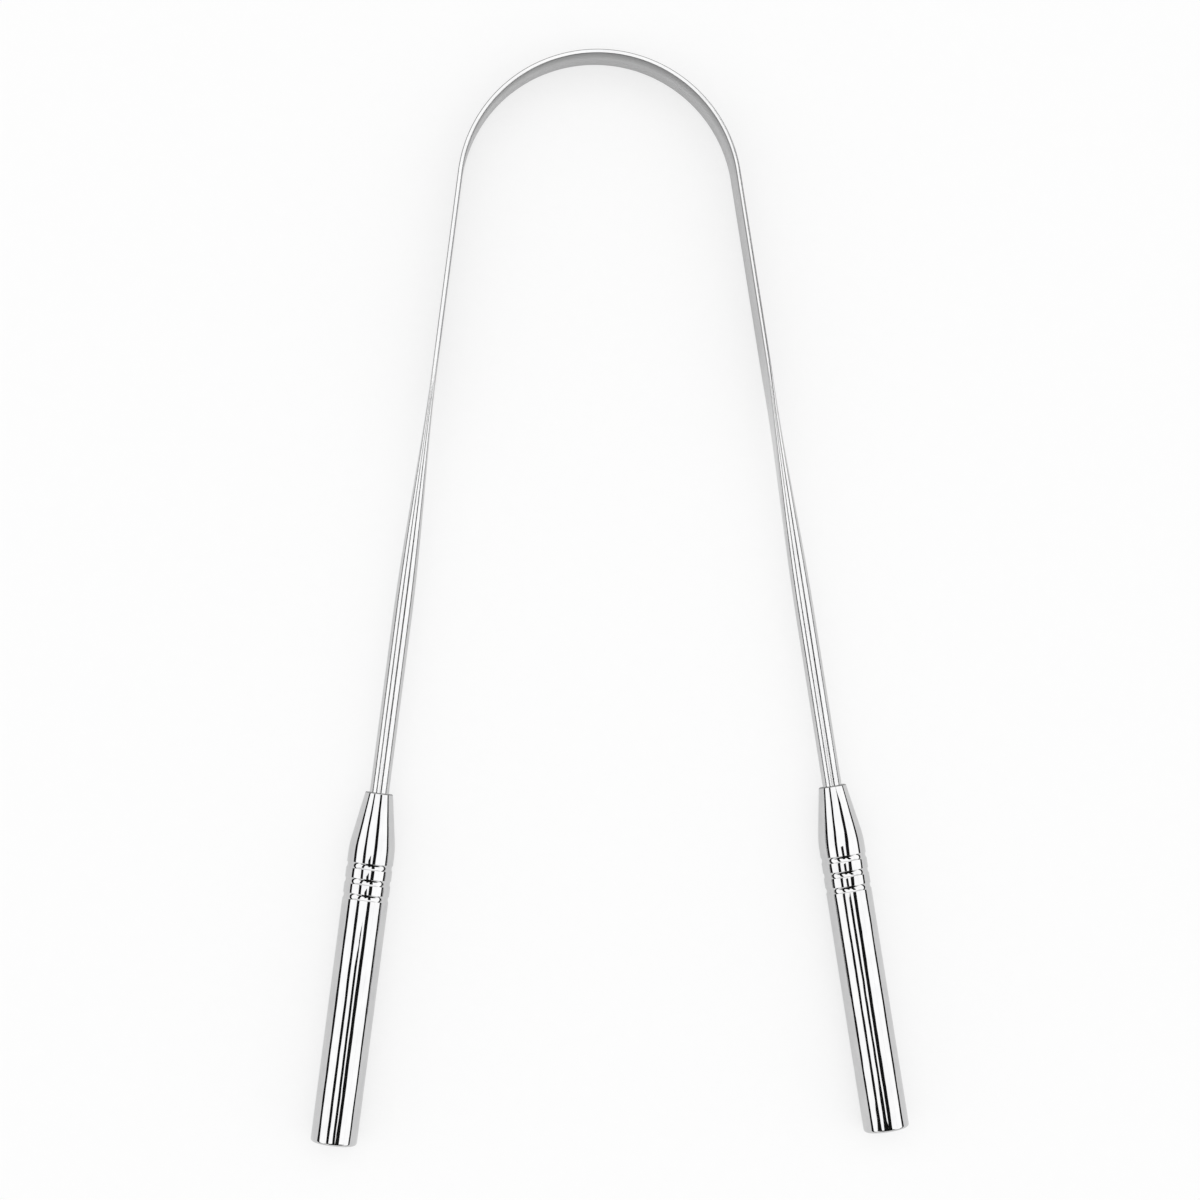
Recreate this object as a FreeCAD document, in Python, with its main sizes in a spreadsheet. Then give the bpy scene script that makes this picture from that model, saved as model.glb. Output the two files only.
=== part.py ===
import FreeCAD, Part
import math
import os
import re

import Sketcher

# Tongue scraper: one stainless wire, rolled flat at the arch and left round towards two tube handles.
# Millimetres. X runs across the two arms, Y from the handle ends to the arch, and Z up from the
# surface that the scraper lies on. The wire's middle line lies in one level plane.

SIZES = {
    "wire_dia": 2.5,  # round wire before rolling
    "band_width": 6.0,  # rolled band, across the tongue's direction of travel
    "band_thick": 0.6,
    "arch_radius": 18.5,  # bend of the arch, to the middle of the band
    "splay_angle": 8.0,  # degrees that each arm leans out from the middle line
    "flat_length": 25.0,  # flat part of an arm, from the end of the arch
    "taper_length": 34.0,  # run from flat band to round wire
    "rod_length": 23.0,  # round wire that shows above the handle
    "flex_gap": 0.08,  # slit at the end of the arch, where an arm flexes
    "handle_dia": 6.0,
    "handle_length": 45.4,
    "tube_wall": 0.5,
    "nose_rim": 0.53,  # wall of the coned nose around the wire
    "nose_length": 7.0,
    "nose_land": 2.0,  # straight bore in the nose that holds the wire
    "nose_round": 0.2,
    "shoulder_round": 13.0,  # soft turn from the cone to the straight tube
    "rim_land": 0.1,  # flat left on the tube's end beside its rounded edge
    "ring_count": 3,
    "ring_lead": 2.55,  # from the cone's end to the first rolled ring
    "ring_pitch": 2.0,
    "ring_width": 0.8,
    "ring_depth": 0.12,
    "bush_margin": 1.1,  # bush past the first and last ring
    "tang_past": 0.6,  # wire past the bush
    "tang_chamfer": 0.3,
    "plug_length": 4.0,
    "plug_chamfer": 0.1,
    "fit_gap": 0.02,  # radial room between pieces pushed together
}

TAPER_STEPS = 6
SIDES = {"left": -1, "right": 1}
UPRIGHT = FreeCAD.Vector(0, 0, 1)
HALF_TURN = 180
FULL_TURN = 360

MID_HEIGHT = "(max(handle_dia; band_width) / 2)"
ARM_REACH = "(flat_length + taper_length + rod_length)"
TUBE_RADIUS = "(handle_dia / 2)"
TUBE_BORE = "(handle_dia / 2 - tube_wall)"
WIRE_BORE = "(wire_dia / 2 + fit_gap)"
NOSE_RADIUS = "(wire_dia / 2 + fit_gap + nose_rim)"
END_ROUND = "(tube_wall - rim_land)"
FIRST_RING = "(nose_length + ring_lead)"
RING_SPAN = "((ring_count - 1) * ring_pitch)"
RING_RADIUS = "((ring_width ^ 2 / 4 + ring_depth ^ 2) / (2 * ring_depth))"
RING_CENTRE = f"({TUBE_RADIUS} - ring_depth + {RING_RADIUS})"
BEAD_RADIUS = "((tube_wall - ring_depth) / 2)"
BEAD_CENTRE = f"({TUBE_BORE} - ring_depth + {BEAD_RADIUS})"
PLUG_RADIUS = f"({TUBE_BORE} - fit_gap)"
BUSH_START = f"({FIRST_RING} - bush_margin)"
BUSH_END = f"({FIRST_RING} + {RING_SPAN} + bush_margin)"
TANG_LENGTH = f"({BUSH_END} + tang_past)"
BAND_AREA = "((band_width - band_thick) * band_thick + pi * band_thick ^ 2 / 4)"
WIRE_AREA = "(pi * wire_dia ^ 2 / 4)"
ROUND_SEAM = "(wire_dia / 8)"  # where the round section takes over from the band's flat sides

# The arch's centre lies so far up that the outline reaches as far behind the origin as before it.
DEPTH_BELOW_ARCH = (
    f"(({ARM_REACH} + handle_length - {END_ROUND}) * cos(splay_angle)"
    f" + ({TUBE_RADIUS} - {END_ROUND}) * sin(splay_angle) + {END_ROUND}"
    f" - arch_radius * sin(splay_angle))"
)
ARCH_Y = f"(({DEPTH_BELOW_ARCH} - arch_radius - band_thick / 2) / 2)"

doc = FreeCAD.newDocument("TongueScraper")


def fill_sheet():
    sheet = doc.addObject("Spreadsheet::Sheet", "Sizes")
    for row, (alias, value) in enumerate(SIZES.items(), start=1):
        sheet.set(f"A{row}", alias)
        sheet.set(f"B{row}", str(value))
        sheet.setAlias(f"B{row}", alias)
    doc.recompute()
    return sheet


def cells(formula):
    """Return the formula with each size name pointing at its cell of the sheet."""
    return re.sub(r"[a-z]+_[a-z]+", lambda name: "Sizes." + name.group(), formula)


def size_of(formula):
    return float(sheet.evalExpression(cells(formula)))


def make_body(label):
    body = doc.addObject("PartDesign::Body", label)
    body.Label = label
    return body


def place_on_arm(body, side, along):
    """Set a body's Y axis on an arm's middle line, starting a distance from the end of the arch."""
    body.Placement = FreeCAD.Placement(FreeCAD.Vector(), FreeCAD.Rotation(UPRIGHT, HALF_TURN))
    across = f"{side} * (arch_radius * cos(splay_angle) + {along} * sin(splay_angle))"
    forward = f"{ARCH_Y} + arch_radius * sin(splay_angle) - {along} * cos(splay_angle)"
    body.setExpression("Placement.Base.x", cells(across))
    body.setExpression("Placement.Base.y", cells(forward))
    body.setExpression("Placement.Base.z", cells(MID_HEIGHT))
    body.setExpression("Placement.Rotation.Angle", cells(f"{HALF_TURN} + {side} * splay_angle"))


def add_sketch(body, name, role, along=None):
    """Start a sketch on an origin plane; on the XZ plane it may stand some way along +Y."""
    sketch = body.newObject("Sketcher::SketchObject", name)
    plane = next(item for item in body.Origin.OriginFeatures if item.Role == role)
    sketch.AttachmentSupport = [(plane, "")]
    sketch.MapMode = "FlatFace"
    if along is not None:
        sketch.setExpression("AttachmentOffset.Base.z", cells(f"-({along})"))
    return sketch


def hold(sketch, name, kind, places, formula):
    """Add one named dimension to a sketch and bind it to a formula."""
    sketch.addConstraint(Sketcher.Constraint(kind, *places, size_of(formula)))
    sketch.renameConstraint(sketch.ConstraintCount - 1, name)
    sketch.setExpression(f"Constraints.{name}", cells(formula))


def draw_outline(sketch, corners):
    """Draw a closed outline of straight lines through corners given as pairs of formulas."""
    points = [FreeCAD.Vector(size_of(x), size_of(y), 0) for x, y in corners]
    count = len(points)
    for start in range(count):
        sketch.addGeometry(Part.LineSegment(points[start], points[(start + 1) % count]))
    for start in range(count):
        sketch.addConstraint(Sketcher.Constraint("Coincident", start, 2, (start + 1) % count, 1))
    for corner, (x, y) in enumerate(corners):
        for axis, formula in (("X", x), ("Y", y)):
            hold(sketch, f"corner_{corner}_{axis}", f"Distance{axis}", (-1, 1, corner, 1), formula)


def draw_circle(sketch, radius, x="0", y="0"):
    centre = FreeCAD.Vector(size_of(x), size_of(y), 0)
    sketch.addGeometry(Part.Circle(centre, UPRIGHT, size_of(radius)))
    hold(sketch, "radius", "Radius", (0,), radius)
    hold(sketch, "centre_x", "DistanceX", (-1, 1, 0, 3), x)
    hold(sketch, "centre_y", "DistanceY", (-1, 1, 0, 3), y)


def draw_band(sketch, thick, width, middle="0"):
    """Draw a band's section: flat sides along the sketch's Y and full-round edges."""
    half = size_of(thick) / 2
    reach = size_of(width) / 2 - half
    centre_x = size_of(middle)
    top = Part.Circle(FreeCAD.Vector(centre_x, reach, 0), UPRIGHT, half)
    bottom = Part.Circle(FreeCAD.Vector(centre_x, -reach, 0), UPRIGHT, half)
    sketch.addGeometry(Part.ArcOfCircle(top, 0, math.pi))
    sketch.addGeometry(Part.ArcOfCircle(bottom, math.pi, 2 * math.pi))
    for side in (-1, 1):
        low = FreeCAD.Vector(centre_x + side * half, -reach, 0)
        high = FreeCAD.Vector(centre_x + side * half, reach, 0)
        sketch.addGeometry(Part.LineSegment(low, high))
    top_arc, bottom_arc, left_line, right_line = range(4)
    sketch.addConstraint(Sketcher.Constraint("Tangent", top_arc, 1, right_line, 2))
    sketch.addConstraint(Sketcher.Constraint("Tangent", top_arc, 2, left_line, 2))
    sketch.addConstraint(Sketcher.Constraint("Tangent", bottom_arc, 1, left_line, 1))
    sketch.addConstraint(Sketcher.Constraint("Tangent", bottom_arc, 2, right_line, 1))
    sketch.addConstraint(Sketcher.Constraint("Equal", top_arc, bottom_arc))
    sketch.addConstraint(Sketcher.Constraint("Vertical", left_line))
    hold(sketch, "edge_radius", "Radius", (top_arc,), f"{thick} / 2")
    hold(sketch, "middle", "DistanceX", (-1, 1, top_arc, 3), middle)
    hold(sketch, "reach_up", "DistanceY", (-1, 1, top_arc, 3), f"({width} - {thick}) / 2")
    hold(sketch, "reach_down", "DistanceY", (bottom_arc, 3, -1, 1), f"({width} - {thick}) / 2")


def draw_split_round(sketch, radius, seam):
    """Draw a circle in four arcs, seamed a little above and below the middle like a band's section."""
    reach = size_of(radius)
    tilt = math.asin(size_of(seam) / reach)
    circle = Part.Circle(FreeCAD.Vector(), UPRIGHT, reach)
    sketch.addGeometry(Part.ArcOfCircle(circle, tilt, math.pi - tilt))
    sketch.addGeometry(Part.ArcOfCircle(circle, math.pi + tilt, 2 * math.pi - tilt))
    sketch.addGeometry(Part.ArcOfCircle(circle, math.pi - tilt, math.pi + tilt))
    sketch.addGeometry(Part.ArcOfCircle(circle, -tilt, tilt))
    top, bottom, left, right = range(4)
    for arc in (top, bottom, left, right):
        sketch.addConstraint(Sketcher.Constraint("Coincident", arc, 3, -1, 1))
    sketch.addConstraint(Sketcher.Constraint("Coincident", top, 1, right, 2))
    sketch.addConstraint(Sketcher.Constraint("Coincident", top, 2, left, 1))
    sketch.addConstraint(Sketcher.Constraint("Coincident", bottom, 1, left, 2))
    sketch.addConstraint(Sketcher.Constraint("Horizontal", bottom, 2, right, 1))
    sketch.addConstraint(Sketcher.Constraint("Horizontal", top, 1, top, 2))
    sketch.addConstraint(Sketcher.Constraint("Horizontal", bottom, 1, bottom, 2))
    sketch.addConstraint(Sketcher.Constraint("Vertical", left, 1, left, 2))
    hold(sketch, "radius", "Radius", (top,), radius)
    hold(sketch, "seam", "DistanceY", (-1, 1, top, 1), seam)


def revolve(body, kind, name, sketch):
    """Turn a sketch once around the sketch's own Y axis."""
    feature = body.newObject(f"PartDesign::{kind}", name)
    feature.Profile = sketch
    feature.ReferenceAxis = (sketch, ["V_Axis"])
    feature.Angle = FULL_TURN
    return feature


def pad_along(body, name, sketch, length):
    """Extrude a sketch of the XZ plane along +Y."""
    pad = body.newObject("PartDesign::Pad", name)
    pad.Profile = sketch
    pad.Reversed = True
    pad.setExpression("Length", cells(length))
    return pad


def ring_edges(feature, radius, along):
    """Name the round edges of one radius that stand at one place along the Y axis."""
    found = []
    for number, edge in enumerate(feature.Shape.Edges, start=1):
        curve = edge.Curve
        if not isinstance(curve, Part.Circle):
            continue
        near_radius = abs(curve.Radius - size_of(radius)) < Part.Precision.confusion()
        near_place = abs(curve.Center.y - size_of(along)) < Part.Precision.confusion()
        if near_radius and near_place:
            found.append(f"Edge{number}")
    return found


def dress_edge(body, kind, name, base, radius, along, size):
    """Round or chamfer the edge of one radius at one place along the Y axis."""
    doc.recompute()
    dressing = body.newObject(f"PartDesign::{kind}", name)
    dressing.Base = (base, ring_edges(base, radius, along))
    dressing.setExpression("Radius" if kind == "Fillet" else "Size", cells(size))
    return dressing


def repeat_rings(body, originals, sketch):
    pattern = body.newObject("PartDesign::LinearPattern", "Rings")
    pattern.Originals = originals
    pattern.Direction = (sketch, ["V_Axis"])
    pattern.setExpression("Length", cells(RING_SPAN))
    pattern.setExpression("Occurrences", cells("ring_count"))
    body.Tip = pattern


def make_blade():
    """Arch of flat band, bent around the Z axis."""
    body = make_body("scraper_blade")
    body.setExpression("Placement.Base.y", cells(ARCH_Y))
    body.setExpression("Placement.Base.z", cells(MID_HEIGHT))
    section = add_sketch(body, "ArchSection", "YZ_Plane")
    draw_band(section, "band_thick", "band_width", "arch_radius")
    arch = revolve(body, "Revolution", "Arch", section)
    arch.Midplane = True
    arch.setExpression("Angle", cells(f"{HALF_TURN} - 2 * splay_angle"))


def taper_sizes(step):
    """Return the wire's thickness and width after some steps of its run from flat to round.

    The thickness eases in and out. The width follows from the section's area, which falls from the
    wire's to the band's as rolling stretches the metal.
    """
    share = f"({step} / {TAPER_STEPS})"
    ease = f"({share} ^ 2 * (3 - 2 * {share}))"
    thick = f"(band_thick + (wire_dia - band_thick) * {ease})"
    area = f"({BAND_AREA} + ({WIRE_AREA} - {BAND_AREA}) * {ease})"
    width = f"({thick} + ({area} - pi * {thick} ^ 2 / 4) / {thick})"
    return thick, width


def make_arm(name, side):
    """Arm of the wire: flat band, run to round, and the round end that goes into the handle."""
    body = make_body(f"{name}_arm")
    place_on_arm(body, side, "0")

    flat_section = add_sketch(body, "FlatSection", "XZ_Plane", "flex_gap")
    draw_band(flat_section, "band_thick", "band_width")
    pad_along(body, "Flat", flat_section, "flat_length - flex_gap")

    sections = []
    for step in range(TAPER_STEPS):
        along = f"flat_length + taper_length * {step} / {TAPER_STEPS}"
        section = add_sketch(body, f"TaperSection{step}", "XZ_Plane", along)
        draw_band(section, *taper_sizes(step))
        sections.append(section)
    round_section = add_sketch(body, "RoundSection", "XZ_Plane", "flat_length + taper_length")
    draw_split_round(round_section, "wire_dia / 2", ROUND_SEAM)
    taper = body.newObject("PartDesign::AdditiveLoft", "Taper")
    taper.Profile = sections[0]
    taper.Sections = sections[1:] + [round_section]

    rod_section = add_sketch(body, "RodSection", "XZ_Plane", "flat_length + taper_length")
    draw_circle(rod_section, "wire_dia / 2")
    rod = pad_along(body, "Rod", rod_section, f"rod_length + {TANG_LENGTH}")
    wire_end = f"{ARM_REACH} + {TANG_LENGTH}"
    dress_edge(body, "Chamfer", "TangChamfer", rod, "wire_dia / 2", wire_end, "tang_chamfer")


def make_tube(name, side):
    """Handle tube: coned nose bored for the wire, rolled rings, rounded end."""
    body = make_body(f"{name}_handle_tube")
    place_on_arm(body, side, ARM_REACH)

    outline = add_sketch(body, "TubeOutline", "XY_Plane")
    draw_outline(
        outline,
        [
            (WIRE_BORE, "0"),
            (NOSE_RADIUS, "0"),
            (TUBE_RADIUS, "nose_length"),
            (TUBE_RADIUS, "handle_length"),
            (TUBE_BORE, "handle_length"),
            (TUBE_BORE, "nose_length"),
            (WIRE_BORE, "nose_land"),
        ],
    )
    tube = revolve(body, "Revolution", "Tube", outline)
    tip = dress_edge(body, "Fillet", "NoseRound", tube, NOSE_RADIUS, "0", "nose_round")
    shoulder = dress_edge(body, "Fillet", "Shoulder", tip, TUBE_RADIUS, "nose_length", "shoulder_round")
    dress_edge(body, "Fillet", "EndRound", shoulder, TUBE_RADIUS, "handle_length", END_ROUND)

    groove_circle = add_sketch(body, "RingCircle", "XY_Plane")
    draw_circle(groove_circle, RING_RADIUS, RING_CENTRE, FIRST_RING)
    groove = revolve(body, "Groove", "RingGroove", groove_circle)
    bead_circle = add_sketch(body, "BeadCircle", "XY_Plane")
    draw_circle(bead_circle, BEAD_RADIUS, BEAD_CENTRE, FIRST_RING)
    bead = revolve(body, "Revolution", "RingBead", bead_circle)
    repeat_rings(body, [groove, bead], groove_circle)


def make_bush(name, side):
    """Bush between wire and tube, grooved where the rolled rings press into it."""
    body = make_body(f"{name}_bush")
    place_on_arm(body, side, ARM_REACH)
    outline = add_sketch(body, "BushOutline", "XY_Plane")
    draw_outline(
        outline,
        [
            (WIRE_BORE, BUSH_START),
            (PLUG_RADIUS, BUSH_START),
            (PLUG_RADIUS, BUSH_END),
            (WIRE_BORE, BUSH_END),
        ],
    )
    revolve(body, "Revolution", "Bush", outline)
    seat_circle = add_sketch(body, "SeatCircle", "XY_Plane")
    draw_circle(seat_circle, f"{BEAD_RADIUS} + fit_gap", BEAD_CENTRE, FIRST_RING)
    seat = revolve(body, "Groove", "RingSeat", seat_circle)
    repeat_rings(body, [seat], seat_circle)


def make_plug(name, side):
    """Plug that closes the tube, flush with its end."""
    body = make_body(f"{name}_end_plug")
    place_on_arm(body, side, ARM_REACH)
    inner_end = "handle_length - plug_length"
    section = add_sketch(body, "PlugSection", "XZ_Plane", inner_end)
    draw_circle(section, PLUG_RADIUS)
    plug = pad_along(body, "Plug", section, "plug_length")
    lead = dress_edge(body, "Chamfer", "LeadChamfer", plug, PLUG_RADIUS, inner_end, "plug_chamfer")
    dress_edge(body, "Chamfer", "FaceChamfer", lead, PLUG_RADIUS, "handle_length", "plug_chamfer")


def check_document():
    for item in doc.Objects:
        if "Invalid" in item.State or "Error" in item.State:
            raise RuntimeError(f"{item.Label} did not build: {item.State}")


def write_parts():
    os.makedirs("parts", exist_ok=True)
    for body in doc.findObjects("PartDesign::Body"):
        if body.Shape.isNull() or not body.Shape.isValid():
            raise RuntimeError(f"{body.Label} has no valid shape")
        body.Shape.exportStep(f"parts/{body.Label}.step")


sheet = fill_sheet()
make_blade()
for side_name, side_sign in SIDES.items():
    make_arm(side_name, side_sign)
    make_tube(side_name, side_sign)
    make_bush(side_name, side_sign)
    make_plug(side_name, side_sign)
doc.recompute()
check_document()
write_parts()
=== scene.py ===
import math

import bmesh
import bpy
from mathutils import Matrix, Vector


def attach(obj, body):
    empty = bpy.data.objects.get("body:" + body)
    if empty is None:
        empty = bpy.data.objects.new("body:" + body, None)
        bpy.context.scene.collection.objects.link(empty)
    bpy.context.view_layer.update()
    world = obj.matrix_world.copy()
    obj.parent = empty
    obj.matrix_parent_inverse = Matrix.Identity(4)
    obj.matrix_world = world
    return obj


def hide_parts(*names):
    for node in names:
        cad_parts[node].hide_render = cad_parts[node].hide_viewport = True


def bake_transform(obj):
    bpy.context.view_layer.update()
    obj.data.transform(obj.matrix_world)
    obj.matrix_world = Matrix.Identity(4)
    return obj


# Tongue scraper in polished stainless steel. The bow is drawn from round wire: a flat band at the
# arch, then a run to round on each arm, and a turned tube handle on each end. Metres, in the CAD's
# frame.

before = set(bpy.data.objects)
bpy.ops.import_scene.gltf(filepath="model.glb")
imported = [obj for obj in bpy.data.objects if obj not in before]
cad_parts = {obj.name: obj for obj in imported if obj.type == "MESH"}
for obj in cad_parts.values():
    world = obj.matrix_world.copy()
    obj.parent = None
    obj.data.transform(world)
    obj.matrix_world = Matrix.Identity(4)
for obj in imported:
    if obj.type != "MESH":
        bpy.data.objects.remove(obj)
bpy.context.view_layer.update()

MM = 0.001
UP = Vector((0.0, 0.0, 1.0))

# The bow, measured along an arm from the end of the arch.
WIRE_THICK = 2.5 * MM
BAND_THICK = 0.6 * MM
BAND_WIDTH = 6.0 * MM
EDGE_FLAT = 0.5
EDGE_FLAT_END = 0.2
ARCH_RADIUS = 18.5 * MM
ARCH_CENTRE = Vector((0.0, 52.5756, 3.0)) * MM
SPLAY = math.radians(8.0)
FLAT_END = 25.0 * MM
TAPER_END = 59.0 * MM
NOSE_PLACE = 82.0 * MM
TANG_EDGE = 96.95 * MM
TANG_END = 97.25 * MM
TANG_END_THICK = 1.9 * MM

# The handle, measured along it from the tip of its nose.
TUBE_RADIUS = 3.0 * MM
TUBE_BORE = 2.5 * MM
WIRE_BORE = 1.27 * MM
NOSE_RADIUS = 1.8 * MM
NOSE_ROUND = 0.2 * MM
NOSE_LAND = 2.0 * MM
SHOULDER = 7.0 * MM
SHOULDER_ROUND = 13.0 * MM
HANDLE_END = 45.4 * MM
END_ROUND = 0.4 * MM
RING_PLACES = (9.55 * MM, 11.55 * MM, 13.55 * MM)
RING_WIDTH = 0.8 * MM
RING_DEPTH = 0.12 * MM
RING_LIP = 0.1 * MM
PLUG_RADIUS = 2.48 * MM
PLUG_START = 41.4 * MM
PLUG_EDGE = 0.1 * MM

# How finely the steel is drawn.
SIDE_STEPS_EVEN = (-1.0, -2 / 3, -1 / 3, 0.0, 1 / 3, 2 / 3)
SIDE_STEPS_FLAT = (-1.0, -0.96, -0.5, 0.0, 0.5, 0.96)
EDGE_STEPS = 19
WIRE_POINTS = 2 * (len(SIDE_STEPS_EVEN) + EDGE_STEPS)
CROWN_WHEN_ROUND = math.pi * len(SIDE_STEPS_EVEN) / WIRE_POINTS
ARCH_STEPS = 328
FLAT_STEPS = 50
TAPER_STEPS = 68
TURNED_STEPS = 128
ARC_STEPS = 8
WELD = 0.001 * MM
CREASE = math.radians(30)

# Finishes of the steel: two tones or two roughnesses each, between which the marks change.
POLISHED_TONES = ((0.575, 0.575, 0.58), (0.62, 0.62, 0.62))
BRUSHED_TONES = ((0.47, 0.47, 0.475), (0.55, 0.55, 0.55))
# Painted shade: the arch's faces are coloured darker towards their upper edge, a dark reflection
# painted in.
ARCH_SHADE_TONES = ((0.18, 0.18, 0.18), (0.26, 0.26, 0.26))
# Painted shade: the band's rolled corners are coloured dark, dark reflections painted in.
SHADED_CORNER_TONES = ((0.2, 0.2, 0.2), (0.32, 0.32, 0.32))
# Painted shade: the tube's front edge is coloured dark, a dark line painted in.
NOSE_SHADE_TONES = ((0.16, 0.16, 0.16), (0.34, 0.34, 0.34))
TURNED_TONES = ((0.47, 0.47, 0.48), (0.56, 0.56, 0.56))
BRUSHED_ROUGHNESS = (0.2, 0.34)
DULL_ROUGHNESS = (0.3, 0.5)

# Marks per millimetre in each direction, and the noise that draws them.
LINES_ALONG_WIRE = (0.15, 14.0, 14.0)
LINES_ROUND_TUBE = (16.0, 0.4, 0.4)
LINES_ROUND_BUSH = (0.4, 16.0, 0.4)
SLOW_WAVES = (0.12, 0.3, 0.3)
HAZE_PER_MM = (0.5, 0.9, 0.9)
NOSE_SHADE_GRAIN = (4.0, 2.0, 2.0)
NOISE_REACH = (0.3, 0.7)
NOISE_ROUGHNESS = 0.55

# Where a finish or a painted shade is full and where it ends, in millimetres from the middle of the
# straight wire.
BRUSHED_ALONG = (48.0, 62.0)
BRUSHED_ACROSS = (2.7, 2.85)
# Where the painted shade on the arch's faces lies.
ARCH_SHADE_ALONG = (18.0, 34.0)
ARCH_SHADE_ACROSS = (2.6, 0.2)
# The band's rolled corners, which are painted dark.
CORNER_OUT = (0.22, 0.17)
CORNER_UP = (2.8, 2.72)
# The tube's front edge, where the shade line is painted.
NOSE_EDGE = (108.55, 108.64)

# The studio's tones, sizes and brightness.
CARD_TONES = ((0.008, 0.008, 0.008), (0.014, 0.014, 0.014))
CARD_GRAIN = (0.2, 0.2, 0.2)
FLOOR_TONES = ((0.94, 0.94, 0.94), (0.955, 0.955, 0.955))
FLOOR_GRAIN = (0.5, 0.5, 0.5)
FLOOR_SIZE = 6.0
FLOOR_HEIGHT = -0.02 * MM
FLOOR_GLOW = 0.65
FLOOR_GLOW_IN_STEEL = 0.25
WORLD_LIGHT = 0.58
LAMP_BRIGHTNESS = 0.62


def side_vector(side, out):
    """Level direction square to an arm, pointing away from the middle by out."""
    return Vector((side * math.cos(SPLAY), math.sin(SPLAY), 0.0)) * out


def on_arm(side, along, out=0.0, up=0.0):
    """Point of an arm: along it from the end of the arch, out from its middle line and up."""
    arch_end = ARCH_CENTRE + side_vector(side, ARCH_RADIUS)
    down_arm = Vector((side * math.sin(SPLAY), -math.cos(SPLAY), 0.0))
    return arch_end + down_arm * along + side_vector(side, out) + UP * up


def wire_outline(thick, width, crown=0.0, edge_flat=0.0):
    """Section of the wire as (out, up) points: two sides with a crown and two rounded edges."""
    roundness = crown / CROWN_WHEN_ROUND
    corner = thick / 2 * (1 - edge_flat)
    flat = thick / 2 - corner
    reach = width / 2 - corner
    half = []
    for even, uneven in zip(SIDE_STEPS_EVEN, SIDE_STEPS_FLAT):
        share = uneven + (even - uneven) * roundness
        lean = share * crown
        half.append((flat + corner * math.cos(lean), reach * share + corner * math.sin(lean)))
    for step in range(EDGE_STEPS):
        lean = crown + (math.pi - 2 * crown) * step / EDGE_STEPS
        out = math.copysign(flat, math.cos(lean)) + corner * math.cos(lean)
        half.append((out, reach + corner * math.sin(lean)))
    return half + [(-out, -up) for out, up in half]


def rolled_section(share):
    """Section some share of the way from flat band to round wire."""
    ease = share * share * (3 - 2 * share)
    thick = BAND_THICK + (WIRE_THICK - BAND_THICK) * ease
    band_area = (BAND_WIDTH - BAND_THICK) * BAND_THICK + math.pi * BAND_THICK**2 / 4
    wire_area = math.pi * WIRE_THICK**2 / 4
    area = band_area + (wire_area - band_area) * ease
    width = thick + (area - math.pi * thick**2 / 4) / thick
    edge_flat = EDGE_FLAT * max(0.0, 1 - share / EDGE_FLAT_END)
    return wire_outline(thick, width, CROWN_WHEN_ROUND * share**3, edge_flat)


def deselect_all():
    bpy.ops.object.select_all(action="DESELECT")


def begin_section(name):
    """Add the round end of a wire and open it for editing."""
    deselect_all()
    bpy.ops.mesh.primitive_circle_add(vertices=WIRE_POINTS, radius=WIRE_THICK / 2, fill_type="NGON")
    piece = bpy.context.object
    piece.name = piece.data.name = name
    bpy.ops.object.mode_set(mode="EDIT")
    bpy.ops.mesh.select_all(action="SELECT")
    return piece


def set_ring(piece, points):
    """Set the corners of the selected end face to the points of a section."""
    mesh = bmesh.from_edit_mesh(piece.data)
    end_face = next(face for face in mesh.faces if face.select)
    for loop, point in zip(end_face.loops, points):
        loop.vert.co = point
    bmesh.update_edit_mesh(piece.data)


def close_piece():
    """Weld the open piece, turn its faces outwards, close it and smooth all but the creases."""
    bpy.ops.mesh.select_all(action="SELECT")
    bpy.ops.mesh.remove_doubles(threshold=WELD)
    bpy.ops.mesh.normals_make_consistent(inside=False)
    bpy.ops.object.mode_set(mode="OBJECT")
    bpy.ops.object.shade_smooth_by_angle(angle=CREASE)


def bend_arch(name):
    """Flat band spun round the arch's centre, from the right arm to the left."""
    piece = begin_section(name)
    outline = rolled_section(0.0)
    set_ring(piece, [on_arm(1, 0.0, out, up) for out, up in outline])
    sweep = -(math.pi - 2 * SPLAY)
    bpy.ops.mesh.spin(steps=ARCH_STEPS, angle=sweep, center=ARCH_CENTRE, axis=UP)
    close_piece()
    return piece


def arm_stations():
    """Places along an arm with the wire's section at each."""
    flat = rolled_section(0.0)
    round_wire = rolled_section(1.0)
    stations = [(FLAT_END * step / FLAT_STEPS, flat) for step in range(FLAT_STEPS)]
    for step in range(TAPER_STEPS + 1):
        share = step / TAPER_STEPS
        stations.append((FLAT_END + (TAPER_END - FLAT_END) * share, rolled_section(share)))
    stations.append(((TAPER_END + NOSE_PLACE) / 2, round_wire))
    stations.append((NOSE_PLACE, round_wire))
    stations.append((TANG_EDGE, round_wire))
    stations.append((TANG_END, wire_outline(TANG_END_THICK, TANG_END_THICK, CROWN_WHEN_ROUND)))
    return stations


def draw_arm(name):
    """Right arm, extruded ring by ring from the end of the arch to the wire's end in the handle."""
    piece = begin_section(name)
    before = 0.0
    for along, outline in arm_stations():
        if along > 0.0:
            step = on_arm(1, along) - on_arm(1, before)
            bpy.ops.mesh.extrude_region_move(TRANSFORM_OT_translate={"value": step})
        set_ring(piece, [on_arm(1, along, out, up) for out, up in outline])
        before = along
    close_piece()
    return piece


def round_corner(before, corner, after, radius):
    """Points of the arc that rounds one corner of an outline."""
    corner = Vector(corner)
    back = (Vector(before) - corner).normalized()
    ahead = (Vector(after) - corner).normalized()
    half = back.angle(ahead) / 2
    centre = corner + (back + ahead).normalized() * (radius / math.sin(half))
    start = corner + back * (radius / math.tan(half)) - centre
    end = corner + ahead * (radius / math.tan(half)) - centre
    sweep = start.angle_signed(end)
    arc = []
    for step in range(ARC_STEPS + 1):
        turn = -sweep * step / ARC_STEPS
        arc.append(centre + Matrix.Rotation(turn, 2) @ start)
    return arc


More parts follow.
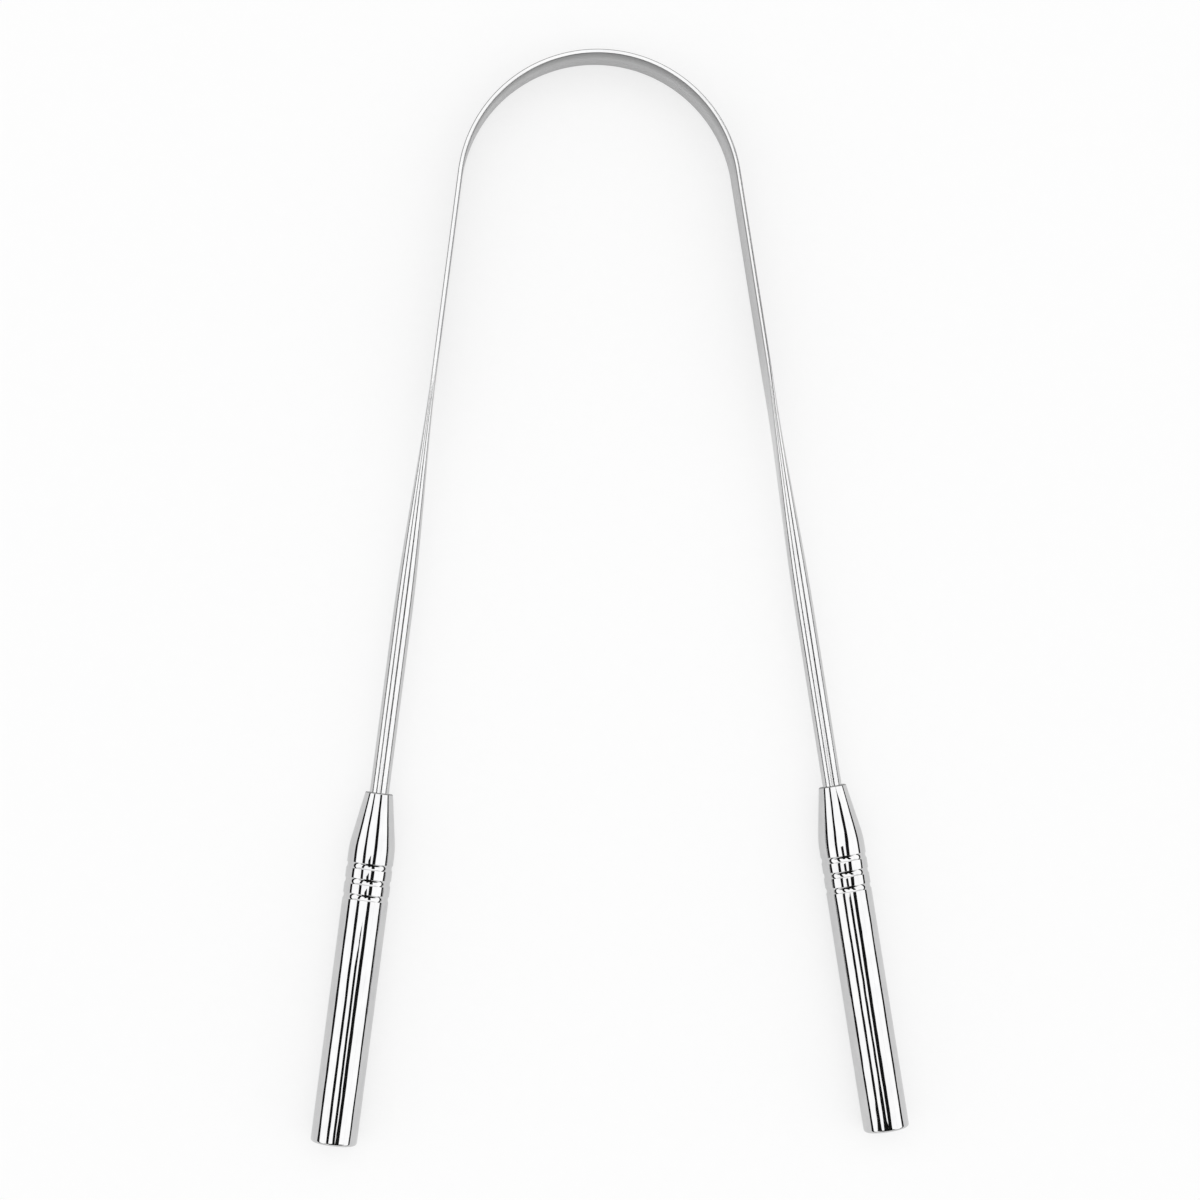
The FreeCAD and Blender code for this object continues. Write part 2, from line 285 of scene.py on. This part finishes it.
def ring_outline(place):
    """Outline across one rolled ring: lip, hollow, lip."""
    hollow = (RING_WIDTH**2 / 4 + RING_DEPTH**2) / (2 * RING_DEPTH)
    hollow_centre = TUBE_RADIUS - RING_DEPTH + hollow
    lip_centre = TUBE_RADIUS - RING_LIP
    lip_place = math.sqrt((hollow + RING_LIP) ** 2 - (hollow_centre - lip_centre) ** 2)
    lean = math.atan2(lip_place, hollow_centre - lip_centre)
    lip = []
    for step in range(ARC_STEPS // 2 + 1):
        turn = lean * step / (ARC_STEPS // 2)
        lip.append((lip_centre + RING_LIP * math.cos(turn), -lip_place + RING_LIP * math.sin(turn)))
    middle = []
    for step in range(1, 2 * ARC_STEPS):
        turn = lean * (step / ARC_STEPS - 1)
        middle.append((hollow_centre - hollow * math.cos(turn), hollow * math.sin(turn)))
    other_lip = [(radius, -along) for radius, along in reversed(lip)]
    return [Vector((radius, place + along)) for radius, along in lip + middle + other_lip]


def tube_outline():
    """Outline of the tube as (radius, along), once round its wall from the front of the bore."""
    bore_front = (WIRE_BORE, 0.0)
    nose = (NOSE_RADIUS, 0.0)
    shoulder = (TUBE_RADIUS, SHOULDER)
    end = (TUBE_RADIUS, HANDLE_END)
    rim = (TUBE_BORE, HANDLE_END)
    outline = [Vector(bore_front)]
    outline += round_corner(bore_front, nose, shoulder, NOSE_ROUND)
    outline += round_corner(nose, shoulder, end, SHOULDER_ROUND)
    for place in RING_PLACES:
        outline += ring_outline(place)
    outline += round_corner(shoulder, end, rim, END_ROUND)
    outline += [Vector(rim), Vector((TUBE_BORE, SHOULDER)), Vector((WIRE_BORE, NOSE_LAND))]
    outline.append(Vector(bore_front))
    return outline


def plug_outline():
    """Outline of the end plug as (radius, along), from its inner middle to its outer middle."""
    back = [
        Vector((0.0, PLUG_START)),
        Vector((PLUG_RADIUS - PLUG_EDGE, PLUG_START)),
        Vector((PLUG_RADIUS, PLUG_START + PLUG_EDGE)),
    ]
    side = (PLUG_RADIUS, PLUG_START)
    rim = (PLUG_RADIUS, HANDLE_END)
    middle = (0.0, HANDLE_END)
    return back + round_corner(side, rim, middle, PLUG_EDGE) + [Vector(middle)]


def turn_on_lathe(name, outline):
    """Spin an outline round the right handle's middle line."""
    deselect_all()
    bpy.ops.mesh.primitive_plane_add(size=MM)
    piece = bpy.context.object
    piece.name = piece.data.name = name
    places = [on_arm(1, NOSE_PLACE + along, radius) for radius, along in outline]
    bpy.ops.object.mode_set(mode="EDIT")
    bpy.ops.mesh.select_all(action="SELECT")
    bpy.ops.mesh.merge(type="CENTER")
    bpy.ops.transform.translate(value=places[0])
    for before, place in zip(places, places[1:]):
        bpy.ops.mesh.extrude_vertices_move(TRANSFORM_OT_translate={"value": place - before})
    bpy.ops.mesh.select_all(action="SELECT")
    nose = on_arm(1, NOSE_PLACE)
    axis = (on_arm(1, TANG_END) - nose).normalized()
    bpy.ops.mesh.spin(steps=TURNED_STEPS, angle=2 * math.pi, center=nose, axis=axis)
    close_piece()
    return piece


def mirrored_copy(piece, name):
    """Copy a piece of the right arm to the left arm, with its own mesh."""
    deselect_all()
    bpy.context.view_layer.objects.active = piece
    piece.select_set(True)
    bpy.ops.object.duplicate(linked=False)
    copy = bpy.context.object
    copy.name = copy.data.name = name
    bpy.ops.object.mode_set(mode="EDIT")
    bpy.ops.mesh.select_all(action="SELECT")
    bpy.ops.transform.resize(value=(-1, 1, 1), center_override=(0, 0, 0))
    close_piece()
    return copy


def straighten(piece, unroll):
    """Keep on each corner of a piece where it lay on the straight wire, in millimetres."""
    straight = piece.data.attributes.new("straight", "FLOAT_VECTOR", "POINT")
    for corner, kept in zip(piece.data.vertices, straight.data):
        kept.vector = unroll(corner.co) / MM


def unroll_arch(place):
    """Where a point of the arch lay on the straight wire: along, out and up."""
    spoke = place - ARCH_CENTRE
    turn = math.atan2(spoke.y, spoke.x) - math.pi / 2
    return Vector((turn * ARCH_RADIUS, spoke.xy.length - ARCH_RADIUS, spoke.z))


def unroll_right(place):
    """Where a point of the right arm or handle lay on the straight wire."""
    half_arch = ARCH_RADIUS * (math.pi / 2 - SPLAY)
    offset = place - on_arm(1, 0.0)
    down_arm = (on_arm(1, NOSE_PLACE) - on_arm(1, 0.0)).normalized()
    return Vector((-half_arch - offset.dot(down_arm), offset.dot(side_vector(1, 1.0)), offset.z))


def unroll_left(place):
    """Where a point of the left arm or handle lay on the straight wire."""
    along, out, up = unroll_right(Vector((-place.x, place.y, place.z)))
    return Vector((-along, out, up))


def new_material(name):
    """Material with its node tree and its shader."""
    material = bpy.data.materials.new(name)
    material.use_nodes = True
    return material, material.node_tree, material.node_tree.nodes["Principled BSDF"]


def add_node(tree, kind, **inputs):
    """Node of some kind with its inputs set, a space in an input's name written as _."""
    node = tree.nodes.new(kind)
    for socket, value in inputs.items():
        node.inputs[socket.replace("_", " ")].default_value = value
    return node


def straight_wire(tree):
    """Coordinates of the straight wire, in millimetres."""
    attribute = add_node(tree, "ShaderNodeAttribute")
    attribute.attribute_name = "straight"
    return attribute.outputs["Vector"]


def millimetres(tree):
    """Object coordinates in millimetres."""
    coordinates = add_node(tree, "ShaderNodeTexCoord")
    mapping = add_node(tree, "ShaderNodeMapping", Scale=(1 / MM, 1 / MM, 1 / MM))
    tree.links.new(coordinates.outputs["Object"], mapping.inputs["Vector"])
    return mapping.outputs["Vector"]


def marks(tree, coordinates, per_mm, detail=3.0):
    """Noise with so many marks per millimetre along each direction."""
    mapping = add_node(tree, "ShaderNodeMapping", Scale=per_mm)
    fineness = {"Scale": 1.0, "Detail": detail, "Roughness": NOISE_ROUGHNESS}
    noise = add_node(tree, "ShaderNodeTexNoise", **fineness)
    tree.links.new(coordinates, mapping.inputs["Vector"])
    tree.links.new(mapping.outputs["Vector"], noise.inputs["Vector"])
    return noise.outputs["Fac"]


def spread(tree, noise, low, high):
    """Spread the usual reach of a noise between two numbers."""
    ranged = add_node(tree, "ShaderNodeMapRange", To_Min=low, To_Max=high)
    ranged.inputs["From Min"].default_value, ranged.inputs["From Max"].default_value = NOISE_REACH
    tree.links.new(noise, ranged.inputs["Value"])
    return ranged.outputs["Result"]


def tint(tree, noise, dark, light):
    """Colour between two tones, by a noise."""
    ramp = add_node(tree, "ShaderNodeValToRGB")
    for stop, place, tone in zip(ramp.color_ramp.elements, NOISE_REACH, (dark, light)):
        stop.position = place
        stop.color = (*tone, 1.0)
    tree.links.new(noise, ramp.inputs["Fac"])
    return ramp.outputs["Color"]


def bump(tree, height, depth, onto=None):
    """Fine relief as a change of the surface's direction, on top of another one if given."""
    node = add_node(tree, "ShaderNodeBump", Strength=1.0, Distance=depth)
    tree.links.new(height, node.inputs["Height"])
    if onto is not None:
        tree.links.new(onto, node.inputs["Normal"])
    return node.outputs["Normal"]


def steel(name, coordinates_from, lines_per_mm, line_depth, wave_depth, roughness, tones):
    """Stainless steel with fine lines from its last working and slow waves from hand polishing."""
    material, tree, shader = new_material(name)
    coordinates = coordinates_from(tree)
    lines = marks(tree, coordinates, lines_per_mm)
    waves = marks(tree, coordinates, SLOW_WAVES, detail=2.0)
    haze = marks(tree, coordinates, HAZE_PER_MM, detail=4.0)
    shader.inputs["Metallic"].default_value = 1.0
    tree.links.new(tint(tree, haze, *tones), shader.inputs["Base Color"])
    tree.links.new(spread(tree, lines, *roughness), shader.inputs["Roughness"])
    surface = bump(tree, lines, line_depth, bump(tree, waves, wave_depth))
    tree.links.new(surface, shader.inputs["Normal"])
    return material


def fade(tree, coordinates, direction, full, none, both_ways=True):
    """Mask along one direction of the straight wire, from one at full to nothing at none."""
    parts = add_node(tree, "ShaderNodeSeparateXYZ")
    tree.links.new(coordinates, parts.inputs["Vector"])
    distance = parts.outputs[direction]
    if both_ways:
        either_way = add_node(tree, "ShaderNodeMath")
        either_way.operation = "ABSOLUTE"
        tree.links.new(distance, either_way.inputs[0])
        distance = either_way.outputs["Value"]
    limits = {"From_Min": full, "From_Max": none, "To_Min": 1.0, "To_Max": 0.0}
    mask = add_node(tree, "ShaderNodeMapRange", **limits)
    tree.links.new(distance, mask.inputs["Value"])
    return mask.outputs["Result"]


def where_both(tree, mask, other):
    """Mask where two masks meet."""
    both = add_node(tree, "ShaderNodeMath")
    both.operation = "MULTIPLY"
    tree.links.new(mask, both.inputs[0])
    tree.links.new(other, both.inputs[1])
    return both.outputs["Value"]


def refinish(material, place, strokes, tones, roughness):
    """Give a material another finish at the place where a mask is one."""
    tree = material.node_tree
    shader = tree.nodes["Principled BSDF"]
    for socket, finish, data_type in (
        ("Base Color", tint(tree, strokes, *tones), "RGBA"),
        ("Roughness", spread(tree, strokes, *roughness), "FLOAT"),
    ):
        both = add_node(tree, "ShaderNodeMix")
        both.data_type = data_type
        share, first, second = [each for each in both.inputs if each.enabled]
        tree.links.new(place, share)
        tree.links.new(shader.inputs[socket].links[0].from_socket, first)
        tree.links.new(finish, second)
        tree.links.new(next(each for each in both.outputs if each.enabled), shader.inputs[socket])


def brush_band(material):
    """Brush the flat faces of the rolled band, with painted shade on the arch and its rolled
    corners, and leave the rest of its edges and the round wire polished.
    """
    tree = material.node_tree
    coordinates = straight_wire(tree)
    strokes = marks(tree, coordinates, LINES_ALONG_WIRE)
    band = fade(tree, coordinates, "X", *BRUSHED_ALONG)
    faces = where_both(tree, band, fade(tree, coordinates, "Z", *BRUSHED_ACROSS))
    refinish(material, faces, strokes, BRUSHED_TONES, BRUSHED_ROUGHNESS)

    # Painted shade: the arch's faces darken towards their upper edge, and the rolled corners are
    # painted dark and left dull.
    arch_faces = where_both(tree, faces, fade(tree, coordinates, "X", *ARCH_SHADE_ALONG))
    towards_edge = fade(tree, coordinates, "Z", *ARCH_SHADE_ACROSS, both_ways=False)
    painted_arch_shade = where_both(tree, arch_faces, towards_edge)
    refinish(material, painted_arch_shade, strokes, ARCH_SHADE_TONES, BRUSHED_ROUGHNESS)
    corner_out = fade(tree, coordinates, "Y", *CORNER_OUT)
    corner_up = fade(tree, coordinates, "Z", *CORNER_UP)
    corners = where_both(tree, band, where_both(tree, corner_out, corner_up))
    refinish(material, corners, strokes, SHADED_CORNER_TONES, DULL_ROUGHNESS)


def shade_and_dull_nose(material):
    """Paint a dark line of shade on the front edge of the tube, and leave that edge dull."""
    tree = material.node_tree
    coordinates = straight_wire(tree)
    edge = fade(tree, coordinates, "X", *NOSE_EDGE)
    refinish(material, edge, marks(tree, coordinates, NOSE_SHADE_GRAIN), NOSE_SHADE_TONES, DULL_ROUGHNESS)


def dress(piece, material):
    """Give a piece its material."""
    piece.data.materials.clear()
    piece.data.materials.append(material)


polished_wire = steel(
    "polished_wire",
    straight_wire,
    lines_per_mm=LINES_ALONG_WIRE,
    line_depth=0.00008 * MM,
    wave_depth=0.01 * MM,
    roughness=(0.1, 0.2),
    tones=POLISHED_TONES,
)
brush_band(polished_wire)
polished_tube = steel(
    "polished_tube",
    straight_wire,
    lines_per_mm=LINES_ROUND_TUBE,
    line_depth=0.00006 * MM,
    wave_depth=0.05 * MM,
    roughness=(0.02, 0.05),
    tones=POLISHED_TONES,
)
# The tube's front edge gets a painted dark line of shade.
shade_and_dull_nose(polished_tube)
turned_steel = steel(
    "turned_steel",
    millimetres,
    lines_per_mm=LINES_ROUND_BUSH,
    line_depth=0.001 * MM,
    wave_depth=0.002 * MM,
    roughness=(0.25, 0.4),
    tones=TURNED_TONES,
)

arch = bend_arch("arch_band")
right_arm = draw_arm("right_arm_wire")
right_tube = turn_on_lathe("right_handle", tube_outline())
right_plug = turn_on_lathe("right_plug", plug_outline())
left_arm = mirrored_copy(right_arm, "left_arm_wire")
left_tube = mirrored_copy(right_tube, "left_handle")
left_plug = mirrored_copy(right_plug, "left_plug")

straighten(arch, unroll_arch)
for piece in (right_arm, right_tube, right_plug):
    straighten(piece, unroll_right)
for piece in (left_arm, left_tube, left_plug):
    straighten(piece, unroll_left)

for piece in (arch, right_arm, left_arm):
    dress(piece, polished_wire)
for piece in (right_tube, right_plug, left_tube, left_plug):
    dress(piece, polished_tube)
for node in ("left_bush", "right_bush"):
    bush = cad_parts[node]
    bush.data.materials.clear()
    bush.data.materials.append(turned_steel)

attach(arch, "blade")
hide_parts("scraper_blade")
for side, name, arm, tube, plug in (
    (1, "right", right_arm, right_tube, right_plug),
    (-1, "left", left_arm, left_tube, left_plug),
):
    body = f"{name}_arm"
    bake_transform(arm)
    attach(tube, body)
    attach(plug, body)
    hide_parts(f"{name}_arm")
    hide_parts(f"{name}_handle_tube")
    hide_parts(f"{name}_end_plug")

# Camera, fitted to the photograph's outline.
camera_data = bpy.data.cameras.new("camera")
camera_data.lens = 75.761
camera_data.sensor_width = 36.0
camera_data.clip_start = 0.01
camera = bpy.data.objects.new("camera", camera_data)
camera.location = Vector((-24.503, -18.802, 333.554)) * MM
camera.rotation_mode = "ZYX"
camera.rotation_euler = (0.05311, -0.07211, -0.01047)
bpy.context.scene.collection.objects.link(camera)
bpy.context.scene.camera = camera


def facing(place, target):
    """Turn that points a lamp or a card from its place at a target."""
    return (Vector(target) - Vector(place)).to_track_quat("-Z", "Y").to_euler()


def softbox(name, place, target, width, height):
    """Rectangular soft lamp, as bright in a mirror whatever its size."""
    lamp_data = bpy.data.lights.new(name, "AREA")
    lamp_data.shape = "RECTANGLE"
    lamp_data.size = width
    lamp_data.size_y = height
    lamp_data.energy = LAMP_BRIGHTNESS * math.pi * width * height
    lamp = bpy.data.objects.new(name, lamp_data)
    lamp.location = place
    lamp.rotation_euler = facing(place, target)
    bpy.context.scene.collection.objects.link(lamp)


def card(name, place, target, width, height, turn=0.0):
    """Black card of the studio, seen only in reflections."""
    deselect_all()
    bpy.ops.mesh.primitive_plane_add(size=1.0)
    board = bpy.context.object
    board.name = board.data.name = name
    board.location = place
    board.rotation_euler = facing(place, target)
    board.rotation_euler.z += math.radians(turn)
    board.scale = (width, height, 1.0)
    board.data.materials.append(black_card)
    board.visible_camera = False
    board.visible_diffuse = False
    board.visible_shadow = False


def when_seen(tree, as_light, in_steel, to_camera):
    """One number as light, one where metal or glass shows it and one where the camera sees it."""
    rays = add_node(tree, "ShaderNodeLightPath")
    shown = add_node(tree, "ShaderNodeMath")
    shown.operation = "MAXIMUM"
    tree.links.new(rays.outputs["Is Glossy Ray"], shown.inputs[0])
    tree.links.new(rays.outputs["Is Transmission Ray"], shown.inputs[1])
    number = add_node(tree, "ShaderNodeMapRange", To_Min=as_light, To_Max=in_steel)
    tree.links.new(shown.outputs["Value"], number.inputs["Value"])
    chosen = add_node(tree, "ShaderNodeMapRange", To_Max=to_camera)
    tree.links.new(rays.outputs["Is Camera Ray"], chosen.inputs["Value"])
    tree.links.new(number.outputs["Result"], chosen.inputs["To Min"])
    return chosen.outputs["Result"]


black_card, tree, shader = new_material("black_card")
grain = marks(tree, millimetres(tree), CARD_GRAIN)
tree.links.new(tint(tree, grain, *CARD_TONES), shader.inputs["Base Color"])
shader.inputs["Roughness"].default_value = 1.0
shader.inputs["Specular IOR Level"].default_value = 0.0

pale_floor, tree, shader = new_material("pale_floor")
grain = marks(tree, millimetres(tree), FLOOR_GRAIN)
tree.links.new(tint(tree, grain, *FLOOR_TONES), shader.inputs["Base Color"])
shader.inputs["Roughness"].default_value = 0.9
shader.inputs["Specular IOR Level"].default_value = 0.2
white = add_node(tree, "ShaderNodeEmission", Strength=1.0)
whitened = add_node(tree, "ShaderNodeMixShader")
tree.links.new(when_seen(tree, 0.0, FLOOR_GLOW_IN_STEEL, FLOOR_GLOW), whitened.inputs["Fac"])
tree.links.new(shader.outputs["BSDF"], whitened.inputs[1])
tree.links.new(white.outputs["Emission"], whitened.inputs[2])
tree.links.new(whitened.outputs["Shader"], tree.nodes["Material Output"].inputs["Surface"])
deselect_all()
bpy.ops.mesh.primitive_plane_add(size=FLOOR_SIZE, location=(0.0, 0.0, FLOOR_HEIGHT))
floor = bpy.context.object
floor.name = floor.data.name = "floor"
floor.data.materials.append(pale_floor)

# Three soft lamps, and the black cards that draw the dark lines in the polished steel.
softbox("overhead_box", (0.0, 0.1, 1.2), (0.0, 0.1, 0.0), 2.7, 2.0)
softbox("left_box", (-1.37, -0.1, 0.61), (0.0, -0.1, 0.61), 2.2, 1.18)
softbox("right_box", (1.37, -0.1, 0.61), (0.0, -0.1, 0.61), 2.2, 1.18)
card("left_strip", (-0.43, -0.1, 0.63), (0.0, -0.1, 0.0), 1.1, 0.17)
card("middle_strip", (-0.043, -0.34, 0.84), (0.047, -0.34, 0.0), 0.54, 0.17, turn=11)
card("right_strip", (0.37, -0.1, 1.13), (0.0, -0.1, 0.0), 1.2, 0.34, turn=-10)
card("left_rim", (-1.0, 0.0, 0.12), (0.0, 0.0, 0.12), 4.0, 0.24)
card("right_rim", (1.0, 0.0, 0.11), (0.0, 0.0, 0.11), 4.0, 0.2)
card("back_rim", (0.0, 1.0, 0.1), (0.0, 0.0, 0.1), 4.0, 0.2)
card("front_card", (-0.045, -0.3, 0.395), (-0.045, 0.0, 0.395), 0.75, 0.31)
card("front_top", (0.015, -0.3, 0.7), (0.015, 0.0, 0.7), 0.39, 0.3)
card("front_low", (0.025, -0.3, 0.195), (0.025, 0.0, 0.195), 0.37, 0.09)

# White all round where it is seen, and less as light, beside the lamps.
world = bpy.data.worlds.new("studio")
world.use_nodes = True
tree = world.node_tree
background = tree.nodes["Background"]
background.inputs["Color"].default_value = (1.0, 1.0, 1.0, 1.0)
tree.links.new(when_seen(tree, WORLD_LIGHT, 1.0, 1.0), background.inputs["Strength"])
bpy.context.scene.world = world
bpy.context.scene.view_settings.view_transform = "Standard"
